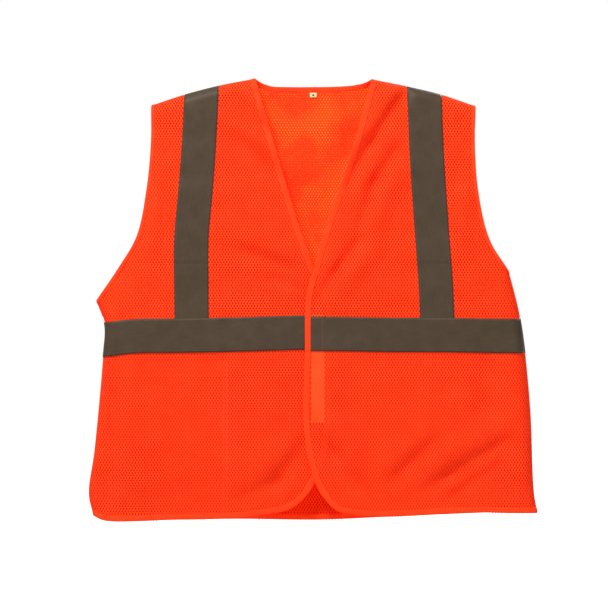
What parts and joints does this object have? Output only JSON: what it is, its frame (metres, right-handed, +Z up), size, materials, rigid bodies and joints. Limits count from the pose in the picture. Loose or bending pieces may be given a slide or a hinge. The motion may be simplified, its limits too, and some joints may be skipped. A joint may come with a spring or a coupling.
{
  "type": "high visibility vest",
  "caption": "Sleeveless V-neck mesh safety vest with bound edges, reflective shoulder and waist tapes, hook-and-loop front closure and an inside pocket.",
  "frame": {"origin": "middle of the back neckline, where a hanger or the wearer's shoulders hold the vest", "axes": "+Z up, front faces -Y, +X is the wearer's left"},
  "size_m": [0.6633, 0.039, 0.6572],
  "materials": {
    "mesh_fabric": "fluorescent orange polyester mesh with small holes",
    "binding": "folded knit polyester binding, fluorescent orange",
    "reflective_tape": "retroreflective glass bead tape, dark grey-brown without a flash",
    "hook_and_loop": "orange nylon hook and loop tape",
    "label": "woven cream size tab"
  },
  "bodies": {
    "root": {"back_panel": "mesh_fabric", "back_hem_binding": "binding", "back_neck_binding": "binding", "left_armhole_binding_back": "binding", "right_armhole_binding_back": "binding", "back_waist_tape": "reflective_tape", "inner_pocket": "mesh_fabric", "size_label": "label", "left_front_side": "mesh_fabric", "left_hem_binding": "binding", "left_armhole_binding_front": "binding", "left_side_seam": "binding", "left_shoulder_seam": "binding", "left_waist_tape": "reflective_tape", "left_shoulder_tape_front": "reflective_tape", "left_shoulder_tape_back": "reflective_tape", "right_front_side": "mesh_fabric", "right_hem_binding": "binding", "right_armhole_binding_front": "binding", "right_side_seam": "binding", "right_shoulder_seam": "binding", "right_waist_tape": "reflective_tape", "right_shoulder_tape_front": "reflective_tape", "right_shoulder_tape_back": "reflective_tape"},
    "left_flap": {"left_front_flap": "mesh_fabric", "left_front_binding": "binding", "left_flap_waist_tape": "reflective_tape", "hook_strip": "hook_and_loop"},
    "right_flap": {"right_front_flap": "mesh_fabric", "right_front_binding": "binding", "right_flap_waist_tape": "reflective_tape", "loop_strip": "hook_and_loop"}
  },
  "joints": [
    {"name": "left_front_fold", "type": "hinge", "parent": "root", "child": "left_flap", "pos_m": [0.116, -0.0203, -0.642], "axis": [-0.0463, 0, 0.9989], "range_deg": [0, 165]},
    {"name": "right_front_fold", "type": "hinge", "parent": "root", "child": "right_flap", "pos_m": [-0.116, -0.0203, -0.645], "axis": [-0.046, 0, -0.9989], "range_deg": [0, 90.75]}
  ],
  "couplings": [
    {"joint": "right_front_fold", "follows": "left_front_fold", "ratio": 0.55}
  ]
}
